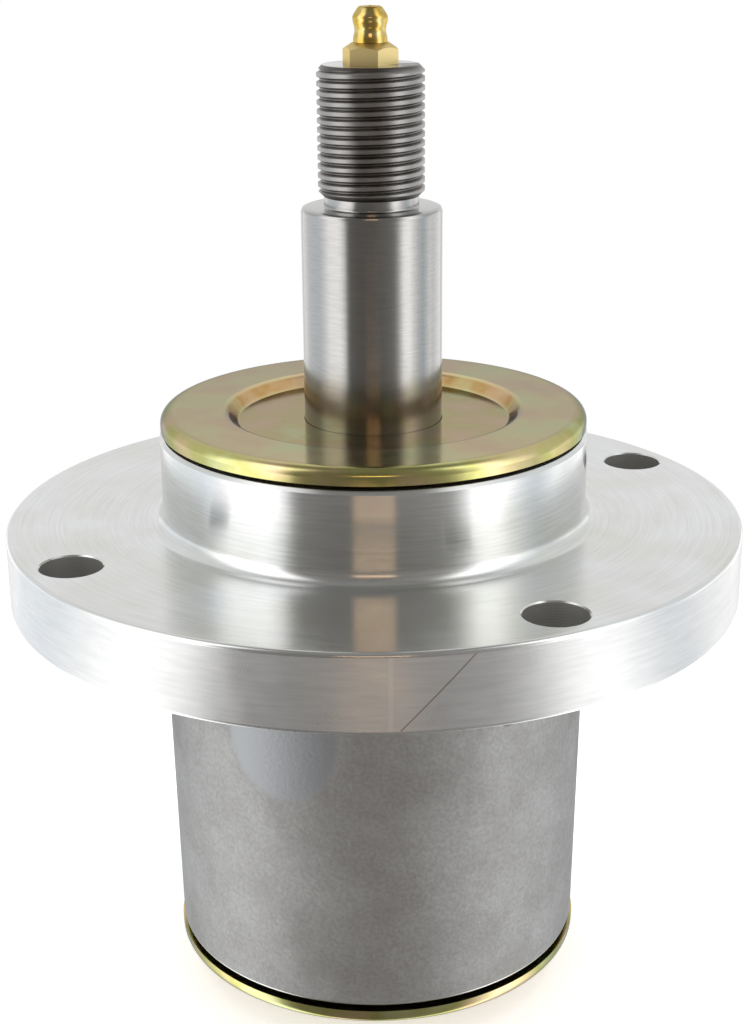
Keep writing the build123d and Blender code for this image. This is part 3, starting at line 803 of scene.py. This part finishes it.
class SPINDLE_OT_stage(bpy.types.Operator):
    """Set up the floor, the reflector cards, the soft light and the camera"""
    bl_idname = "spindle.stage"
    bl_label = "Stage"

    def execute(self, context):
        s = context.scene.spindle_stage
        self.floor(s)
        self.cards(s)
        self.light(context)
        self.camera(context, s)
        context.scene.view_settings.view_transform = "Standard"
        return {"FINISHED"}

    def seen(self, add):
        """1 for what the camera, a reflection or clear glass sees, 0 for the light that falls on things."""
        paths = add("ShaderNodeLightPath").outputs
        shown = add("ShaderNodeMath", {0: paths["Is Camera Ray"], 1: paths["Is Glossy Ray"]}, operation="MAXIMUM")
        return add("ShaderNodeMath", {0: shown, 1: paths["Is Transmission Ray"]}, operation="MAXIMUM")

    def floor(self, s):
        bpy.ops.object.select_all(action="DESELECT")
        bpy.ops.mesh.primitive_circle_add(vertices=128, radius=s.floor_radius, fill_type="NGON", location=(0, 0, 0))
        floor = bpy.context.object
        floor.name = floor.data.name = "floor"
        made, add, shader = new_material("white_paper", 0.0, 1.0)
        set_sockets(shader, {"Base Color": "#F7F7F7", "Specular IOR Level": 0.0})
        coords = add("ShaderNodeTexCoord").outputs["Object"]
        reach = add("ShaderNodeVectorMath", {0: coords}, operation="LENGTH")
        fade = add("ShaderNodeMapRange",
                   {"Value": reach, "From Min": 0.4 * s.floor_radius, "From Max": 0.98 * s.floor_radius},
                   interpolation_type="SMOOTHSTEP")
        share = add("ShaderNodeMath", {0: self.seen(add), 1: 0.45}, operation="MULTIPLY")
        lift = add("ShaderNodeEmission", {"Strength": share})
        paper = add("ShaderNodeAddShader", {0: shader, 1: lift})
        clear = add("ShaderNodeBsdfTransparent")
        mix = add("ShaderNodeMixShader", {0: fade, 1: paper, 2: clear})
        set_sockets(made.node_tree.nodes["Material Output"], {"Surface": mix})
        floor.data.materials.append(made)
        floor.visible_glossy = False

    def cards(self, s):
        """A dome of reflector cards that only reflections see, open behind the spindle, where the white backdrop is."""
        bpy.ops.object.select_all(action="DESELECT")
        bpy.ops.mesh.primitive_uv_sphere_add(segments=72, ring_count=36, radius=s.card_radius, location=(0, 0, 0.1))
        dome = bpy.context.object
        dome.name = dome.data.name = "reflector_cards"
        bpy.ops.object.transform_apply()
        edit(dome)

        def behind(face):
            """Within 30 degrees of straight behind, and not near the top or bottom."""
            at = face.calc_center_median()
            turn = math.degrees(math.atan2(at.y, at.x) - s.camera_azimuth) % 360
            return 150 < turn < 210 and abs(at.z) < 0.7 * s.card_radius

        pick(dome, "faces", behind)
        bpy.ops.mesh.delete(type="FACE")
        bpy.ops.object.mode_set(mode="OBJECT")
        made = bpy.data.materials.new("reflector_card")
        made.use_nodes = True
        made.node_tree.nodes.clear()
        add = partial(add_node, made.node_tree)
        coords = add("ShaderNodeTexCoord").outputs["Object"]
        ray = add("ShaderNodeVectorMath", {0: coords}, operation="NORMALIZE")
        split = add("ShaderNodeSeparateXYZ", {0: ray}).outputs
        turn = add("ShaderNodeMath", {0: split["Y"], 1: split["X"]}, operation="ARCTAN2")
        turns = add("ShaderNodeMath", {0: turn, 1: 1 / (2 * math.pi), 2: 1.5 - s.camera_azimuth / (2 * math.pi)},
                    operation="MULTIPLY_ADD")
        place = add("ShaderNodeMath", {0: turns}, operation="FRACT")
        aside = add("ShaderNodeMath", {0: place, 1: 0.5}, operation="SUBTRACT")
        # The dark gap in front widens downwards, as two cards that lean apart leave it
        height = add("ShaderNodeMapRange", {"Value": split["Z"], "From Min": -1})
        lean = add("ShaderNodeValToRGB", {"Fac": height},
                   [(0.5 + sine / 2, (times / WIDEST,) * 3) for sine, times in LEAN])
        spread = add("ShaderNodeMath", {0: aside, 1: lean}, operation="MULTIPLY")
        leaning = add("ShaderNodeMath", {0: spread, 1: WIDEST, 2: 0.5}, operation="MULTIPLY_ADD")
        bands = add("ShaderNodeValToRGB", {"Fac": leaning}, [
            (0.5 + degrees / 360, tuple(level / BRIGHTEST * (1 + share * warm) for share in (0.06, 0, -0.06)))
            for degrees, level, warm in CARDS])
        # A strip of bare wood in front, behind the camera, shows as a warm stripe on the pilot and the flange
        off = add("ShaderNodeMath", {0: aside}, operation="ABSOLUTE")
        strip = add("ShaderNodeMapRange", {"Value": off, "From Min": 12.0 / 360, "From Max": 9.5 / 360})
        tall = add("ShaderNodeValToRGB", {"Fac": height}, [(0.5 + sine / 2, (level,) * 3) for sine, level in WOOD])
        wood = add("ShaderNodeMath", {0: strip, 1: tall}, operation="MULTIPLY")
        bands = add("ShaderNodeMix", {0: wood, 6: bands, 7: "#EBC69E"}, **OVER)
        # To the sides the cards are low, and the room above them is dimmer
        side = add("ShaderNodeMapRange", {"Value": off, "From Min": 90 / 360, "From Max": 105 / 360})
        above = add("ShaderNodeMapRange", {"Value": split["Z"], "From Max": 0.2})
        room = add("ShaderNodeMath", {0: side, 1: above}, operation="MULTIPLY")
        bands = add("ShaderNodeMix", {0: room, 6: bands, 7: "#858686"}, **OVER)
        # The ceiling is dimmer still
        ceiling = add("ShaderNodeMapRange", {"Value": split["Z"], "From Min": 0.80, "From Max": 0.95})
        bands = add("ShaderNodeMix", {0: ceiling, 6: bands, 7: "#4A4A49"}, **OVER)
        card = add("ShaderNodeEmission", {"Color": bands, "Strength": BRIGHTEST})
        add("ShaderNodeOutputMaterial", {"Surface": card})
        dome.data.materials.append(made)
        dome.visible_camera = dome.visible_diffuse = dome.visible_transmission = False
        dome.visible_shadow = dome.visible_volume_scatter = False

    def light(self, context):
        """Even light from all round, and a large soft lamp overhead."""
        world = bpy.data.worlds.new("soft_studio")
        context.scene.world = world
        world.use_nodes = True
        world.node_tree.nodes.clear()
        add = partial(add_node, world.node_tree)
        even = add("ShaderNodeBackground", {"Color": "#FFFFFF", "Strength": 0.8})
        white = add("ShaderNodeBackground", {"Color": "#FFFFFF", "Strength": 1.0})
        mix = add("ShaderNodeMixShader", {0: self.seen(add), 1: even, 2: white})
        add("ShaderNodeOutputWorld", {"Surface": mix})
        bpy.ops.object.light_add(type="AREA", location=(0, 0, 0.9))
        lamp = bpy.context.object
        lamp.name = "overhead_softbox"
        lamp.data.shape = "DISK"
        lamp.data.size = 1.0
        lamp.data.energy = 6
        lamp.visible_glossy = False

    def camera(self, context, s):
        forward = Vector((-math.cos(s.camera_azimuth) * math.cos(s.camera_pitch),
                          -math.sin(s.camera_azimuth) * math.cos(s.camera_pitch), -math.sin(s.camera_pitch)))
        bpy.ops.object.camera_add(location=(s.camera_distance * math.cos(s.camera_azimuth),
                                            s.camera_distance * math.sin(s.camera_azimuth), s.camera_height))
        camera = bpy.context.object
        turn = forward.to_track_quat("-Z", "Y").to_matrix().to_4x4() @ Matrix.Rotation(s.camera_roll, 4, "Z")
        camera.matrix_world = Matrix.Translation(camera.location) @ turn
        camera.data.lens = s.lens
        camera.data.sensor_width = 36
        camera.data.shift_x = -0.0016
        camera.data.clip_start = 0.01
        context.scene.camera = camera


class SPINDLE_PT_panel(bpy.types.Panel):
    """Every step of the spindle, in order"""
    bl_idname = "SPINDLE_PT_panel"
    bl_label = "Mower deck spindle"
    bl_space_type = "VIEW_3D"
    bl_region_type = "UI"
    bl_category = "Spindle"

    def draw(self, context):
        for step in OPERATORS:
            self.layout.operator(step.bl_idname)


SETTINGS = {
    "spindle_housing": SpindleHousingSettings,
    "spindle_shaft": SpindleShaftSettings,
    "spindle_caps": SpindleCapSettings,
    "spindle_fitting": SpindleFittingSettings,
    "spindle_stage": SpindleStageSettings,
}
OPERATORS = (SPINDLE_OT_housing, SPINDLE_OT_shaft, SPINDLE_OT_dust_caps, SPINDLE_OT_grease_fitting,
             SPINDLE_OT_inner_pieces, SPINDLE_OT_stage)


def register():
    for name, group in SETTINGS.items():
        bpy.utils.register_class(group)
        setattr(bpy.types.Scene, name, PointerProperty(type=group))
    for part in (*OPERATORS, SPINDLE_PT_panel):
        bpy.utils.register_class(part)


def unregister():
    for part in (SPINDLE_PT_panel, *reversed(OPERATORS)):
        bpy.utils.unregister_class(part)
    for name, group in SETTINGS.items():
        delattr(bpy.types.Scene, name)
        bpy.utils.unregister_class(group)


def main():
    register()
    bpy.ops.spindle.housing()
    bpy.ops.spindle.shaft()
    bpy.ops.spindle.dust_caps()
    bpy.ops.spindle.grease_fitting()
    bpy.ops.spindle.inner_pieces()
    bpy.ops.spindle.stage()


if __name__ == "__main__":
    main()
